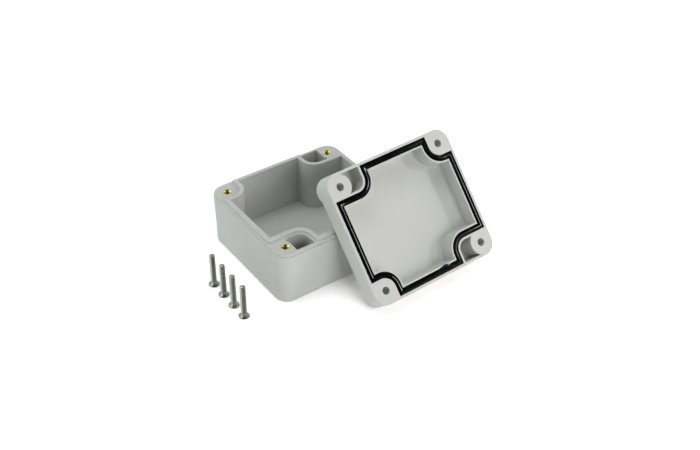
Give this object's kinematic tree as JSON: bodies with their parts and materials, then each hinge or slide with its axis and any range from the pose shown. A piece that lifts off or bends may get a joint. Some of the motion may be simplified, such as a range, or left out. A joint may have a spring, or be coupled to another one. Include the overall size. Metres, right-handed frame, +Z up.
{
  "type": "plastic project box",
  "caption": "Small sealed project box in two plastic halves, opened: the base holds brass inserts, the lid with its rubber gasket leans on it, and the lid screws stand beside.",
  "frame": {"origin": "middle of the underside of the base, on the surface it stands on", "axes": "+X along the long side of the box, +Y across it away from the leaning lid, +Z up"},
  "size_m": [0.1094, 0.0885, 0.0498],
  "materials": {
    "box_plastic": "light grey moulded plastic with a fine satin surface",
    "gasket_rubber": "black, slightly glossy",
    "insert_brass": "turned, bright",
    "screw_steel": "bright drawn steel"
  },
  "bodies": {
    "root": {"base": "box_plastic", "lid": "box_plastic", "gasket": "gasket_rubber", "insert_front": "insert_brass", "insert_right": "insert_brass", "insert_back": "insert_brass", "insert_left": "insert_brass", "lid_screws": "screw_steel"}
  },
  "joints": []
}
